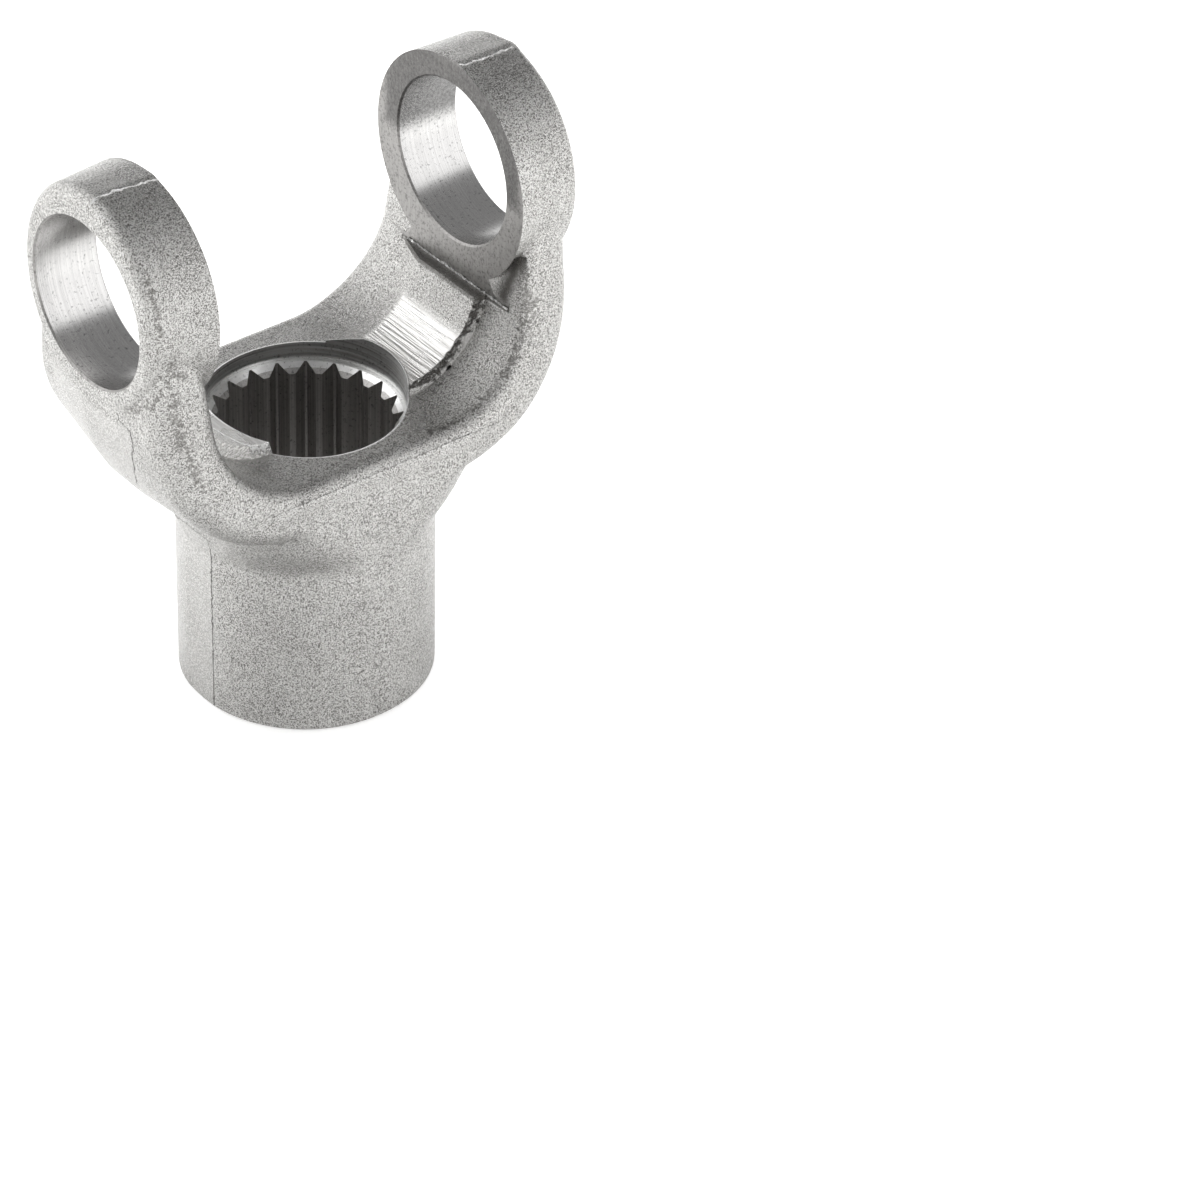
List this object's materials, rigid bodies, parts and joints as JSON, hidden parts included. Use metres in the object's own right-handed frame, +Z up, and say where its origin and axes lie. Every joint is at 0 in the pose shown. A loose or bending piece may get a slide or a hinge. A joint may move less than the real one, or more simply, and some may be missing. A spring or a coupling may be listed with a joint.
{
  "type": "universal joint yoke",
  "caption": "Forged yoke of a universal joint: a U-shaped fork with round bored ears above a splined round hub, shot-blasted steel with machined faces.",
  "frame": {"origin": "centre of the hub's open end, on the spline axis", "axes": "+Z up the spline axis towards the ears, +X along the axis of the ear bores, Y square to the fork's parting plane"},
  "size_m": [0.0782, 0.042, 0.0997],
  "materials": {
    "forged_steel": "shot-blasted forging skin, satin on the machined faces"
  },
  "bodies": {
    "root": {"yoke": "forged_steel"}
  },
  "joints": []
}
